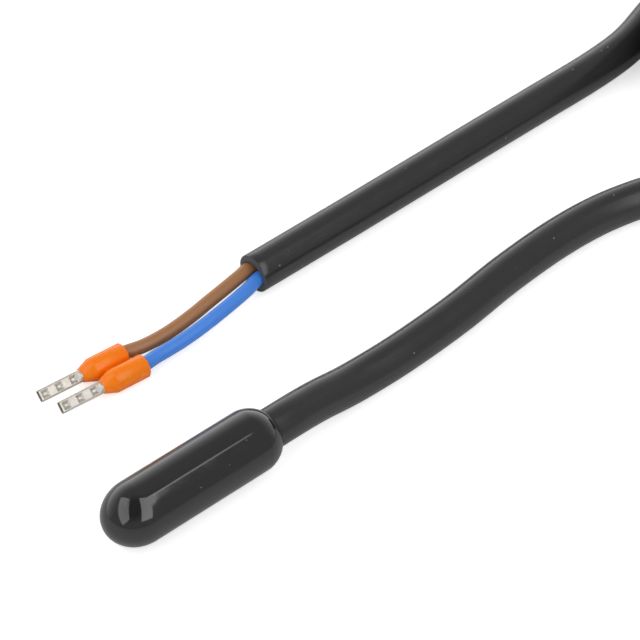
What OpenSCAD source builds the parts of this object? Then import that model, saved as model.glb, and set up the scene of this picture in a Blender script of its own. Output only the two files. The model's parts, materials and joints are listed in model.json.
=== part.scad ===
// Temperature probe: a moulded capsule with a bead thermistor inside, on a
// round two-core cable whose free cores end in crimped bootlace ferrules.
// The cable length between the two ends shown lies in a hank held by a tie.
// X runs along the capsule from its tip to the cable, Z is up, millimetres.

/* [Capsule] */
// Outer diameter of the moulded capsule
capsule_d = 8.2; // [7.6:0.1:10]
// Length from the round tip to the face where the cable leaves
capsule_len = 25; // [22.6:0.1:28]
// Length of the round nose, from the tip to the straight wall
nose_len = 4.8; // [4.2:0.1:6]
// Width of the mould's edge round the cable
neck_lip = 0.1; // [0.05:0.05:0.3]

/* [Cable] */
// Outer diameter of the jacket
cable_d = 5.2; // [5.1:0.1:5.4]
// Thickness of the jacket's wall beside the two cores
jacket_wall = 0.65; // [0.55:0.05:0.65]
// Height of the jacket's bore, which is flatter than it is wide
bore_h = 3; // [2.9:0.1:3.6]
// Outer diameter of one insulated core
core_d = 1.8; // [1.5:0.05:1.85]
// Diameter of the bundle of bare strands
strands_d = 0.9; // [0.7:0.05:1]
// Slack between the two cores and the jacket's bore
core_play = 0.06; // [0.04:0.02:0.12]
// How far the jacket runs into the capsule
jacket_seat = 5.4; // [4:0.2:7.8]
// Straight jacket that stands out of the capsule
jacket_stub = 1.6; // [1:0.1:1.6]
// Length of the opened jacket at the free end
free_end_len = 15; // [10:1:15]

/* [Thermistor] */
// Diameter of the resin bead
bead_d = 3; // [2.6:0.1:3.6]
// Length of the bead's tapered root, from its centre
bead_root = 1.9; // [1.7:0.1:2.2]
// Diameter of the tapered root's end
bead_root_d = 2.5; // [2.1:0.1:2.6]
// Moulding between the bead and the capsule's tip
tip_wall = 1.3; // [0.8:0.1:1.6]
// Diameter of the ceramic chip
chip_d = 1.2; // [0.8:0.1:1.4]
// Thickness of the ceramic chip
chip_t = 0.5; // [0.4:0.05:0.7]
// Diameter of the chip's two wire leads
lead_d = 0.4; // [0.3:0.05:0.5]
// Depth of a lead's seat in the chip's soldered face
lead_bite = 0.05; // [0.02:0.01:0.08]
// Length over which the leads spread to the cores' spacing
lead_spread = 1.2; // [1:0.1:1.4]

/* [Splices] */
// Length of a crimped splice tube
crimp_len = 4; // [3:0.2:4.2]
// Wall of a splice tube
crimp_wall = 0.2; // [0.1:0.05:0.3]
// Wall of the shrunk sleeve over a splice
sleeve_wall = 0.14; // [0.1:0.02:0.16]
// How far the sleeve reaches over the core's insulation
sleeve_over_core = 1.2; // [0.8:0.1:1.6]
// How far the sleeve reaches past the splice tube
sleeve_over_lead = 0.8; // [0.4:0.1:1]
// Offset of one splice behind the other
splice_stagger = 5.2; // [4.8:0.1:5.4]
// Bare strands between the insulation and the splice tube
strip_gap = 0.2; // [0.1:0.05:0.4]
// Free core between the jacket's end and the first sleeve
tail_gap = 0.6; // [0.4:0.1:0.8]

/* [Ferrules] */
// Outer diameter of the plastic collar
collar_d = 3.1; // [2.9:0.05:3.2]
// Length of the collar
collar_len = 6.5; // [6:0.1:7.2]
// Length of the collar's cone
collar_cone = 1.7; // [1.2:0.1:2.2]
// Diameter at the small end of the cone
collar_tip_d = 1.8; // [1.75:0.05:2.1]
// Bore of the collar
collar_bore = 2.3; // [2.2:0.05:2.4]
// Chamfer at the collar's open rim
collar_chamfer = 0.22; // [0.1:0.02:0.28]
// How far a core goes into the collar
core_seat = 3.2; // [2.6:0.1:3.2]
// Length of the metal barrel past the collar
barrel_len = 6; // [6:0.1:8]
// Width of the crimped barrel, and diameter of its round root
barrel_w = 1.6; // [1.5:0.05:1.65]
// Height of the crimped barrel
barrel_h = 0.9; // [0.85:0.05:1.1]
// Wall of the barrel
barrel_wall = 0.15; // [0.1:0.01:0.16]
// Corner radius of the crimped section
barrel_corner = 0.3; // [0.25:0.05:0.4]
// Length over which the round root turns flat
crimp_blend = 0.6; // [0.4:0.1:0.6]
// Turn of the crimp's flat faces about the ferrule's axis
crimp_roll = 40; // [0:5:90]
// Width of one pyramid dent
dent_w = 1.2; // [0.8:0.05:1.2]
// Depth of one pyramid dent
dent_depth = 0.2; // [0.1:0.02:0.2]
// Distance from the collar to the first dent
dent_first = 1.2; // [1.2:0.05:1.25]
// Distance between dents
dent_pitch = 2.05; // [1.6:0.05:2.05]
// Number of dents on each face
dent_count = 3; // [1:1:3]
// Depth of the strands behind the barrel's cut end
strands_recess = 0.3; // [0.1:0.05:0.5]

/* [Hank] */
// Straight run between the two folds of the hank
hank_run = 57; // [50:1:57]
// Centre-line radius of the innermost fold
fold_r = 15.8; // [15:0.2:15.8]
// Strands side by side in the hank
hank_rows = 2; // [1:1:2]
// Layers of strands in the hank
hank_layers = 3; // [2:1:4]
// Air between neighbouring strands
strand_gap = 0.05; // [0.02:0.01:0.1]
// Width of the tie's band
tie_w = 3.6; // [2.5:0.1:5]
// Thickness of the tie's band
tie_t = 0.6; // [0.5:0.1:0.8]
// Side of the tie's square head
tie_head = 5; // [4.5:0.1:6]
// Height of the tie's head
tie_head_h = 3; // [2.5:0.1:4]
// Length of the tie's cut tail above the head
tie_tail = 1.2; // [0.6:0.1:3]

/* [Hidden] */

// Facets of round shapes, sides of the cable's and the cores' tubes, and
// rings along the bend of a lead
round_fn = 64;
cable_sides = 12;
core_sides = 8;
lead_steps = 8;

// How far a cut runs past the face that it opens
cut_over = 1;

// Routes of the cable and of the two free cores, point by point, between
// the ends that the pieces themselves give
probe_way = [[20, 0.35, 3.5], [26, 0.42, 2.7], [34, 0.38, 2.6], [44, 0.98, 2.6],
             [54, 2.2, 2.6], [64, 2.75, 2.6], [72, 2.15, 2.6], [80, 0.05, 2.6],
             [88, -3.65, 2.6], [96, -7.7, 2.7], [104, -11.15, 3],
             [111, -12.7, 3.15]];
free_way = [[56, 23.27, 2.6], [68, 23.35, 2.6], [80, 23.4, 2.6], [90, 23.5, 2.6],
            [97, 24.2, 2.65], [104, 26.2, 2.9], [111, 28.3, 3.15]];
brown_way = [[37, 24.14, 2.78], [29.7, 24.14, 2.78], [27.9, 23.88, 2.66],
             [25.6, 23.6, 2.5], [22.6, 23.28, 2.28], [19.7, 22.98, 2.02],
             [16.7, 22.81, 1.78], [14.1, 22.83, 1.66], [11.6, 23.07, 1.63]];
blue_way = [[37, 22.26, 2.42], [29.7, 22.26, 2.42], [27.5, 21.68, 2.38],
            [25.3, 21.3, 2.3], [22.3, 20.91, 2.14], [19.2, 20.61, 1.94],
            [16.1, 20.48, 1.75], [13.5, 20.5, 1.66], [11.6, 20.55, 1.63]];

// Where each ferrule's open rim lies, and how the ferrules point
brown_rim = [9.08, 23.62];
blue_rim = [9.8, 20.38];
ferrule_turn = 175.4;

// Rise of each core over the collar's axis where it enters the rim
core_lean = [0, 0, 0.14];

// Where the opened jacket ends, how far its cores lie to the side and up in
// it, and where the hank's left fold has its centre
free_end_face = [29.7, 23.2];
free_core_offset = [0.94, 0.18];
hank_corner = [117, 8];

// Capsule, with its axis one radius above the surface it lies on
capsule_r = capsule_d / 2;
cable_r = cable_d / 2;
tip_x = -capsule_len / 2;
neck_x = capsule_len / 2;
neck_r = cable_r + neck_lip;
nose_x = tip_x + nose_len;
rear_x = neck_x - sqrt(pow(capsule_r, 2) - pow(neck_r, 2));

// Cores side by side in the jacket's bore
bore_d = cable_d - 2 * jacket_wall;
core_side = (bore_d - core_d - core_play) / 2;
jacket_end_x = neck_x - jacket_seat;
stub_x = neck_x + jacket_stub;

// Thermistor
bead_x = tip_x + tip_wall + bead_d / 2;
lead_side = chip_t / 2 + lead_d / 2 - lead_bite;
chip_end_x = bead_x + chip_d / 2;

// Splices: the brown one first, the blue one further in
crimp_r = strands_d / 2 + crimp_wall;
sleeve_len = sleeve_over_core + strip_gap + crimp_len + sleeve_over_lead;
brown_sleeve_x = jacket_end_x - tail_gap;
blue_sleeve_x = brown_sleeve_x - splice_stagger;

// Ferrules
barrel_root_r = barrel_w / 2;
flare_x = core_seat + strip_gap;
cone_x = collar_len - collar_cone;
crimp_x = collar_len + crimp_blend;
ferrule_len = collar_len + barrel_len;
dent_slope = atan(2 * dent_depth / dent_w);

// Hank
pitch = cable_d + strand_gap;
hank_out_r = fold_r + (hank_rows - 1) * pitch + cable_r;
hank_in_r = fold_r - cable_r;
hank_h = hank_layers * pitch - strand_gap;
hank_z = tie_t;
bundle_w = hank_out_r - hank_in_r;
strand_y = hank_out_r - cable_r;
strand_z = hank_z + cable_r;

// Whole routes, with the ends that lie on the capsule, hank and ferrules
opened_x = free_end_face[0] + free_end_len;
ferrule_dir = [cos(ferrule_turn), sin(ferrule_turn), 0];
function free_core_start(k) = [opened_x, free_end_face[1] + k * free_core_offset[0],
                               cable_r + k * free_core_offset[1]];
function rim_point(rim) = [rim[0], rim[1], collar_d / 2];
function core_route(way, rim, k) = concat(
    [free_core_start(k)], way,
    [rim_point(rim) + core_lean, rim_point(rim) + core_seat * ferrule_dir]);
probe_route = concat([[stub_x, 0, capsule_r]], probe_way,
                     [[hank_corner[0], hank_corner[1] - strand_y, strand_z]]);
free_route = concat([[opened_x, free_end_face[1], cable_r]], free_way,
                    [[hank_corner[0], hank_corner[1] + strand_y, strand_z]]);

// Swept tube: ring of points round one place of a route
function unit(v) = v / norm(v);
function heading(p, i, first, last) =
    i == 0 ? first : i == len(p) - 1 ? last : unit(p[i + 1] - p[i - 1]);
function ring(at, along, r, sides) =
    let (side = unit(cross([0, 0, 1], along)), up = cross(along, side))
    [for (k = [0 : sides - 1])
        let (a = 360 * (k + 0.5) / sides) at + r * (cos(a) * side + sin(a) * up)];

// Faces of a tube with this many rings and sides
function tube_faces(rings, sides) = concat(
    [for (i = [0 : rings - 2], k = [0 : sides - 1])
        let (a = i * sides + k, b = i * sides + (k + 1) % sides) [a, b + sides, b]],
    [for (i = [0 : rings - 2], k = [0 : sides - 1])
        let (a = i * sides + k, b = i * sides + (k + 1) % sides) [a, a + sides, b + sides]],
    [[for (k = [0 : sides - 1]) k]],
    [[for (k = [sides - 1 : -1 : 0]) (rings - 1) * sides + k]]);

module tube(route, d, sides, first, last) {
    points = [for (i = [0 : len(route) - 1])
        each ring(route[i], heading(route, i, first, last), d / 2, sides)];
    polyhedron(points, tube_faces(len(route), sides));
}

// Rod along X between two places, with its axis at a side offset
module rod(x0, x1, r, y = 0) {
    translate([x0, y, capsule_r]) rotate([0, 90, 0])
        cylinder(h = x1 - x0, r = r, $fn = round_fn);
}

module rounded_rect(w, h, r) {
    square([w - 2 * r, h], center = true);
    square([w, h - 2 * r], center = true);
    for (x = [-1, 1], y = [-1, 1])
        translate([x * (w / 2 - r), y * (h / 2 - r)]) circle(r, $fn = round_fn);
}

// Capsule body turned about X: a long nose, a straight wall and a rear dome
module capsule_outline() {
    intersection() {
        union() {
            translate([0, nose_x]) scale([1, nose_len / capsule_r])
                circle(capsule_r, $fn = 2 * round_fn);
            translate([0, rear_x]) circle(capsule_r, $fn = 2 * round_fn);
            translate([0, nose_x]) square([capsule_r, rear_x - nose_x]);
        }
        translate([0, tip_x]) square([capsule_r, capsule_len]);
    }
}

module capsule() {
    color([0.09, 0.09, 0.1]) difference() {
        translate([0, 0, capsule_r]) rotate([0, 90, 0])
            rotate_extrude($fn = 2 * round_fn) capsule_outline();
        rod(jacket_end_x, neck_x + cut_over, cable_r);
        bead_shape();
        rod(bead_x, brown_sleeve_x, lead_d / 2, core_side);
        rod(bead_x, blue_sleeve_x, lead_d / 2, -core_side);
        sleeve_shape(brown_sleeve_x, core_side);
        sleeve_shape(blue_sleeve_x, -core_side);
        rod(brown_sleeve_x - sleeve_over_core, neck_x, core_d / 2, core_side);
        rod(blue_sleeve_x - sleeve_over_core, neck_x, core_d / 2, -core_side);
    }
}

// Resin bead: a ball with a tapered root where the wires leave
module bead_shape() {
    translate([bead_x, 0, capsule_r]) rotate([0, 90, 0]) {
        sphere(d = bead_d, $fn = round_fn);
        cylinder(h = bead_root, d1 = bead_d, d2 = bead_root_d, $fn = round_fn);
    }
}

// Lead from the chip's face, through an S bend in the resin, to its splice
function lead_route(k, x_end) = concat(
    [[bead_x - chip_d / 2, k * lead_side, capsule_r]],
    [for (i = [0 : lead_steps])
        let (t = i / lead_steps, share = (1 - cos(180 * t)) / 2)
        [chip_end_x + lead_spread * t,
         k * (lead_side + (core_side - lead_side) * share), capsule_r]],
    [[x_end, k * core_side, capsule_r]]);

module lead_wire(k, x_end) {
    tube(lead_route(k, x_end), lead_d, core_sides, [1, 0, 0], [1, 0, 0]);
}

module thermistor_bead() {
    color([0.16, 0.14, 0.13]) difference() {
        bead_shape();
        chip_shape();
        lead_wire(1, brown_sleeve_x);
        lead_wire(-1, blue_sleeve_x);
    }
}

// Ceramic disc between its leads, which seat in its soldered faces
module thermistor_chip() {
    color([0.35, 0.35, 0.36]) difference() {
        chip_shape();
        lead_wire(1, brown_sleeve_x);
        lead_wire(-1, blue_sleeve_x);
    }
}

module chip_shape() {
    translate([bead_x, 0, capsule_r]) rotate([90, 0, 0])
        cylinder(h = chip_t, d = chip_d, center = true, $fn = round_fn);
}

// A lead ends halfway into the splice tube
module thermistor_lead(k, sleeve_x) {
    color("silver") lead_wire(k, crimp_start(sleeve_x) - crimp_len / 2);
}

function crimp_start(sleeve_x) = sleeve_x - sleeve_over_core - strip_gap;

// Splice tube: the strands fill one half, the lead the other
module splice_crimp(side, sleeve_x) {
    start = crimp_start(sleeve_x);
    color([0.8, 0.68, 0.4]) difference() {
        rod(start - crimp_len, start, crimp_r, side);
        rod(start - crimp_len / 2, start + cut_over, strands_d / 2, side);
        rod(start - crimp_len - cut_over, start, lead_d / 2, side);
    }
}

// Outside of a shrunk sleeve, which follows core, tube and lead
module sleeve_shape(sleeve_x, side) {
    start = crimp_start(sleeve_x);
    rod(start, sleeve_x, core_d / 2 + sleeve_wall, side);
    rod(start - crimp_len - sleeve_wall, sleeve_x, crimp_r + sleeve_wall, side);
    rod(sleeve_x - sleeve_len, sleeve_x, lead_d / 2 + sleeve_wall, side);
}

module splice_sleeve(side, sleeve_x) {
    start = crimp_start(sleeve_x);
    color([0.2, 0.2, 0.22]) difference() {
        sleeve_shape(sleeve_x, side);
        rod(start + strip_gap, sleeve_x + cut_over, core_d / 2, side);
        rod(start - crimp_len, sleeve_x, crimp_r, side);
        rod(sleeve_x - sleeve_len - cut_over, sleeve_x, lead_d / 2, side);
    }
}

// Core and strands from the cable to a splice inside the capsule
module inner_core(side, sleeve_x, tint) {
    color(tint) difference() {
        rod(sleeve_x - sleeve_over_core, stub_x, core_d / 2, side);
        rod(sleeve_x - sleeve_over_core - cut_over, stub_x + cut_over, strands_d / 2,
            side);
    }
}

module inner_strands(side, sleeve_x) {
    color([0.72, 0.45, 0.2])
        rod(crimp_start(sleeve_x) - crimp_len / 2, stub_x, strands_d / 2, side);
}

// Straight jacket along X from its origin, with the bore for the two cores
module jacket(length) {
    rotate([0, 90, 0]) difference() {
        cylinder(h = length, d = cable_d, $fn = round_fn);
        translate([0, 0, -cut_over]) linear_extrude(length + 2 * cut_over)
            scale([bore_h / bore_d, 1]) circle(d = bore_d, $fn = round_fn);
    }
}

module jacket_probe_end() {
    color([0.12, 0.12, 0.13])
        translate([jacket_end_x, 0, capsule_r]) jacket(stub_x - jacket_end_x);
}

module cable_probe_lead() {
    color([0.12, 0.12, 0.13])
        tube(probe_route, cable_d, cable_sides, [1, 0, 0], [1, 0, 0]);
}

module cable_free_lead() {
    color([0.12, 0.12, 0.13])
        tube(free_route, cable_d, cable_sides, [1, 0, 0], [1, 0, 0]);
}

// Outline of the hank from above, out to a radius round both folds
module hank_outline(r) {
    for (x = [0, hank_run])
        translate([x, 0]) circle(r, $fn = 2 * round_fn);
    translate([0, -r]) square([hank_run, 2 * r]);
}

module cable_hank() {
    color([0.12, 0.12, 0.13]) translate([hank_corner[0], hank_corner[1], hank_z])
        linear_extrude(hank_h) difference() {
            hank_outline(hank_out_r);
            hank_outline(hank_in_r);
        }
}

// Tie round the strands of the hank's near run, with its head on top
module hank_tie() {
    mid = [hank_corner[0] + hank_run / 2,
           hank_corner[1] - hank_out_r + bundle_w / 2, hank_z + hank_h / 2];
    color([0.1, 0.1, 0.1]) {
        translate(mid) rotate([90, 0, 90])
            linear_extrude(tie_w, center = true) difference() {
                rounded_rect(bundle_w + 2 * tie_t, hank_h + 2 * tie_t, tie_t);
                square([bundle_w, hank_h], center = true);
            }
        translate([mid[0], mid[1], hank_z + hank_h + tie_t + tie_head_h / 2])
            cube([tie_head, tie_head, tie_head_h], center = true);
        translate([mid[0], mid[1], hank_z + hank_h + tie_t + tie_head_h + tie_tail / 2])
            cube([tie_w, tie_t, tie_tail], center = true);
    }
}

module jacket_free_end() {
    color([0.12, 0.12, 0.13])
        translate([free_end_face[0], free_end_face[1], cable_r]) jacket(free_end_len);
}

// Free core, straight in the jacket and along its ferrule at the end
module free_core(way, rim, k, tint) {
    color(tint) tube(core_route(way, rim, k), core_d, core_sides,
                     [-1, 0, 0], ferrule_dir);
}

// Puts a ferrule drawn along X from its rim on the surface
module place_ferrule(rim) {
    translate([rim[0], rim[1], collar_d / 2]) rotate([0, 0, ferrule_turn]) children();
}

// The same for what is crimped, with its flat faces turned about the axis
module place_crimp(rim) {
    place_ferrule(rim) rotate([-crimp_roll, 0, 0]) children();
}

module turned() {
    rotate([0, 90, 0]) rotate_extrude($fn = round_fn) children();
}

// Collar: straight sleeve, chamfered rim, cone, and a funnel inside
module collar_shape() {
    turned() polygon([
        [collar_bore / 2, 0],
        [collar_d / 2 - collar_chamfer, 0],
        [collar_d / 2, collar_chamfer],
        [collar_d / 2, cone_x],
        [collar_tip_d / 2, collar_len],
        [barrel_root_r, collar_len],
        [barrel_root_r, cone_x],
        [collar_bore / 2, flare_x]]);
}

module ferrule_collar(rim) {
    color([1, 0.42, 0.06]) place_ferrule(rim) collar_shape();
}

// Four-sided pyramid with its point down, as the crimping die leaves it
module pyramid(depth_below) {
    deep = dent_depth + depth_below;
    half = deep / tan(dent_slope);
    intersection() {
        rotate([90, 0, 0]) linear_extrude(4 * dent_w, center = true)
            polygon([[0, -deep], [half * 2, deep], [-half * 2, deep]]);
        rotate([90, 0, 90]) linear_extrude(4 * dent_w, center = true)
            polygon([[0, -deep], [half * 2, deep], [-half * 2, deep]]);
    }
}

// Dents on the upper and lower face of the crimp
module dents(depth_below) {
    for (i = [0 : dent_count - 1], flip = [0, 1])
        mirror([0, 0, flip])
            translate([collar_len + dent_first + i * dent_pitch, 0, barrel_h / 2])
                pyramid(depth_below);
}

// Inside of the pressed stretch past the collar, which the strands fill
module crimp_core(x_end) {
    difference() {
        translate([collar_len, 0, 0]) rotate([90, 0, 90])
            linear_extrude(x_end - collar_len)
                rounded_rect(barrel_w - 2 * barrel_wall, barrel_h - 2 * barrel_wall,
                             barrel_corner - barrel_wall);
        dents(barrel_wall / cos(dent_slope));
    }
}

// Side view of the barrel, high at its round root and flat at the crimp
module barrel_side() {
    polygon([[flare_x, -collar_bore], [collar_len, -barrel_root_r],
             [crimp_x, -barrel_h / 2], [crimp_x, barrel_h / 2],
             [collar_len, barrel_root_r], [flare_x, collar_bore]]);
}

module barrel_shape() {
    difference() {
        union() {
            intersection() {
                turned() polygon([[0, flare_x], [collar_bore / 2, flare_x],
                                  [barrel_root_r, cone_x], [barrel_root_r, crimp_x],
                                  [0, crimp_x]]);
                rotate([90, 0, 0]) linear_extrude(2 * collar_bore, center = true)
                    barrel_side();
            }
            translate([crimp_x, 0, 0]) rotate([90, 0, 90])
                linear_extrude(ferrule_len - crimp_x)
                    rounded_rect(barrel_w, barrel_h, barrel_corner);
        }
        turned() polygon([[0, flare_x - cut_over],
                          [collar_bore / 2 - barrel_wall, flare_x - cut_over],
                          [collar_bore / 2 - barrel_wall, flare_x],
                          [strands_d / 2, cone_x], [strands_d / 2, collar_len],
                          [0, collar_len]]);
        dents(0);
        crimp_core(ferrule_len + cut_over);
    }
}

module ferrule_barrel(rim) {
    color([0.83, 0.82, 0.8]) place_crimp(rim) barrel_shape();
}

// Bare strands from the core's end through the barrel
module free_strands(rim) {
    color([0.72, 0.45, 0.2]) place_crimp(rim) {
        translate([core_seat, 0, 0]) rotate([0, 90, 0])
            cylinder(h = collar_len - core_seat, d = strands_d, $fn = round_fn);
        crimp_core(ferrule_len - strands_recess);
    }
}

capsule();
thermistor_chip();
thermistor_bead();
thermistor_lead(1, brown_sleeve_x);  // thermistor_lead_brown
thermistor_lead(-1, blue_sleeve_x);  // thermistor_lead_blue
splice_crimp(core_side, brown_sleeve_x);  // splice_crimp_brown
splice_crimp(-core_side, blue_sleeve_x);  // splice_crimp_blue
splice_sleeve(core_side, brown_sleeve_x);  // splice_sleeve_brown
splice_sleeve(-core_side, blue_sleeve_x);  // splice_sleeve_blue
inner_core(core_side, brown_sleeve_x, [0.42, 0.26, 0.14]);  // inner_core_brown
inner_core(-core_side, blue_sleeve_x, [0.2, 0.42, 0.85]);  // inner_core_blue
inner_strands(core_side, brown_sleeve_x);  // inner_strands_brown
inner_strands(-core_side, blue_sleeve_x);  // inner_strands_blue
jacket_probe_end();
cable_probe_lead();
cable_hank();
hank_tie();
cable_free_lead();
jacket_free_end();
free_core(brown_way, brown_rim, 1, [0.42, 0.26, 0.14]);  // core_brown
free_core(blue_way, blue_rim, -1, [0.2, 0.42, 0.85]);  // core_blue
free_strands(brown_rim);  // strands_brown
free_strands(blue_rim);  // strands_blue
ferrule_collar(brown_rim);  // ferrule_collar_brown
ferrule_collar(blue_rim);  // ferrule_collar_blue
ferrule_barrel(brown_rim);  // ferrule_barrel_brown
ferrule_barrel(blue_rim);  // ferrule_barrel_blue
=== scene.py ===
"""A temperature probe, dressed over its fixed frame.

A glossy moulded capsule lies on a pale surface with its round cable. The cable
runs away to the right into a tied hank and comes back, and its opened end shows
a brown and a blue core, each with a crimped bootlace ferrule.
"""

import json
import logging
import math
import random
from collections.abc import Callable, Sequence
from dataclasses import dataclass, field
from enum import Enum

import bmesh
import bpy
from mathutils import Matrix, Vector


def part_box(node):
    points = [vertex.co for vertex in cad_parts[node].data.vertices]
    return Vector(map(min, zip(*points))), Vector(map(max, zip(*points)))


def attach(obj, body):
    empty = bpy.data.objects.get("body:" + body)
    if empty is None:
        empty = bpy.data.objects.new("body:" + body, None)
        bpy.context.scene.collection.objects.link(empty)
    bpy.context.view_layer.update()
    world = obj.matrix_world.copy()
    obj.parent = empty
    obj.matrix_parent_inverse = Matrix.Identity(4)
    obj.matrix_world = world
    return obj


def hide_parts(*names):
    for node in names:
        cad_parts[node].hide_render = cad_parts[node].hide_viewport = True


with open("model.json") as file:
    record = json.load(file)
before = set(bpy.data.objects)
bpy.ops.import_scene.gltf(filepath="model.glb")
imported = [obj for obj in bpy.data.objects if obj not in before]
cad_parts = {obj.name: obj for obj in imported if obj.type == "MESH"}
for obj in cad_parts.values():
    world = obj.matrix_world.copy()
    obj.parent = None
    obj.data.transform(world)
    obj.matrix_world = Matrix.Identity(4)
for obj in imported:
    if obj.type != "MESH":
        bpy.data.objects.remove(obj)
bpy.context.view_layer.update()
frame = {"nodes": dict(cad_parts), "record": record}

MM = 0.001
BODY = "root"
FORWARD = Vector((1, 0, 0))
log = logging.getLogger("probe")

Colour = tuple[float, float, float]
Point = tuple[float, float, float]
Pair = tuple[float, float]
Piece = bpy.types.Object
Material = bpy.types.Material
Socket = bpy.types.NodeSocket


class Kind(Enum):
    """What is picked in edit mode."""

    POINT = "VERT"
    EDGE = "EDGE"
    FACE = "FACE"


class Way(Enum):
    """How a pattern finds its place on a piece."""

    OBJECT = "Object"
    UV = "UV"


class CoreColour(Enum):
    """The two cores of the cable, by the colour of their insulation."""

    BROWN = "brown"
    BLUE = "blue"


# Bench work

def take(*pieces: Piece) -> None:
    """Selects pieces alone, or nothing, and makes the first one active.

    Args:
        pieces: the pieces to work on.
    """
    if bpy.context.object and bpy.context.object.mode != "OBJECT":
        bpy.ops.object.mode_set(mode="OBJECT")
    bpy.ops.object.select_all(action="DESELECT")
    for piece in pieces:
        piece.select_set(True)
    if pieces:
        bpy.context.view_layer.objects.active = pieces[0]


def named(name: str) -> Piece:
    """Names the active piece, such as one that an operator has just added."""
    bpy.context.object.name = bpy.context.object.data.name = name
    return bpy.context.object


def added(name: str, data: bpy.types.ID) -> Piece:
    """Adds an object for data that no operator has made.

    Args:
        name: the object's name.
        data: its mesh, camera or lamp.

    Returns:
        The object.
    """
    piece = bpy.data.objects.new(name, data)
    bpy.context.collection.objects.link(piece)
    return piece


def settle(piece: Piece) -> None:
    """Moves a piece's place, turn and size into its mesh."""
    take(piece)
    bpy.ops.object.transform_apply(location=True, rotation=True, scale=True)


def modify(piece: Piece, kind: str, **settings: object) -> None:
    """Adds a modifier to a piece and applies it.

    Args:
        piece: the piece to change.
        kind: the modifier's type.
        settings: values to set on the modifier.
    """
    take(piece)
    modifier = piece.modifiers.new(kind.title(), kind)
    for key, value in settings.items():
        setattr(modifier, key, value)
    bpy.ops.object.modifier_apply(modifier=modifier.name)


def smooth(piece: Piece, angle: float = 40.0) -> None:
    """Shades a piece smoothly, but for its edges above an angle in degrees."""
    take(piece)
    bpy.ops.object.shade_smooth_by_angle(angle=math.radians(angle))


def join(name: str, pieces: Sequence[Piece]) -> Piece:
    """Joins meshes into one piece.

    Args:
        name: the joined piece's name.
        pieces: the meshes, the first of which takes the others in.

    Returns:
        The joined piece.
    """
    take(*pieces)
    bpy.ops.object.join()
    return named(name)


@dataclass
class Edit:
    """Edit mode on one piece, with its elements picked by place or normal."""

    piece: Piece
    kind: Kind = Kind.POINT

    def __enter__(self) -> "Edit":
        """Opens edit mode with nothing selected."""
        take(self.piece)
        bpy.ops.object.mode_set(mode="EDIT")
        bpy.ops.mesh.select_mode(type=self.kind.value)
        bpy.ops.mesh.select_all(action="DESELECT")
        return self

    def __exit__(self, *_: object) -> None:
        """Goes back to object mode."""
        bpy.ops.object.mode_set(mode="OBJECT")

    def pick(self, test: Callable[[Vector, Vector], bool]) -> None:
        """Selects the elements that pass a test, and nothing else.

        Args:
            test: takes an element's centre and its normal, or an edge's direction.
        """
        bpy.ops.mesh.select_all(action="DESELECT")
        mesh = bmesh.from_edit_mesh(self.piece.data)
        if self.kind is Kind.POINT:
            found = [(v, v.co, v.normal) for v in mesh.verts]
        elif self.kind is Kind.EDGE:
            found = [(e, (e.verts[0].co + e.verts[1].co) / 2,
                      (e.verts[1].co - e.verts[0].co).normalized()) for e in mesh.edges]
        else:
            found = [(f, f.calc_center_median(), f.normal) for f in mesh.faces]
        for element, centre, direction in found:
            if test(centre, direction):
                element.select_set(True)
        mesh.select_flush_mode()
        bmesh.update_edit_mesh(self.piece.data)

    def pick_ring(self, x: float, test: Callable[[Vector], bool] = lambda c: True) -> None:
        """Selects the edges that lie across X at a place and whose centres pass a test."""
        self.pick(lambda c, d: abs(c.x - x) < 1e-6 and abs(d.x) < 0.1 and test(c))

    def cut(self, x: float, **settings: bool) -> None:
        """Bisects the whole mesh across X, and clears one side where settings say so."""
        bpy.ops.mesh.select_all(action="SELECT")
        bpy.ops.mesh.bisect(plane_co=(x, 0, 0), plane_no=(1, 0, 0), threshold=1e-7, **settings)

    def extrude(self, x: float = 0.0, z: float = 0.0) -> None:
        """Extrudes what is selected along X and Z."""
        bpy.ops.mesh.extrude_region_move(TRANSFORM_OT_translate={"value": (x, 0, z)})

    def resize(self, factors: Sequence[float], middle: Sequence[float]) -> None:
        """Scales what is selected about a point."""
        bpy.ops.transform.resize(value=factors, center_override=middle)

    def close_up(self) -> None:
        """Merges doubles and turns every face outwards."""
        bpy.ops.mesh.select_all(action="SELECT")
        bpy.ops.mesh.remove_doubles(threshold=2e-6)
        bpy.ops.mesh.normals_make_consistent(inside=False)


def turned(name: str, stations: Sequence[Pair], sides: int) -> Piece:
    """Makes a piece turned about X, by extruding a ring from station to station.

    Args:
        name: the piece's name.
        stations: x and radius of each ring, in millimetres.
        sides: points round each ring.

    Returns:
        The piece, whose ends are closed where the last ring meets the first.
    """
    take()
    x, r = stations[0]
    bpy.ops.mesh.primitive_circle_add(
        vertices=sides, radius=r * MM, location=(x * MM, 0, 0), rotation=(0, math.pi / 2, 0))
    piece = named(name)
    settle(piece)
    with Edit(piece, Kind.EDGE) as edit:
        bpy.ops.mesh.select_all(action="SELECT")
        for next_x, next_r in stations[1:]:
            edit.extrude((next_x - x) * MM)
            edit.resize((1, next_r / r, next_r / r), (next_x * MM, 0, 0))
            x, r = next_x, next_r
        edit.close_up()
    return piece


def block(name: str, middle: Sequence[float], size: Sequence[float]) -> Piece:
    """Makes a box.

    Args:
        name: the piece's name.
        middle: its centre, in metres.
        size: its length along each axis, in metres.

    Returns:
        The box.
    """
    take()
    bpy.ops.mesh.primitive_cube_add(size=1, location=middle)
    piece = named(name)
    piece.scale = size
    settle(piece)
    return piece


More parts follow.
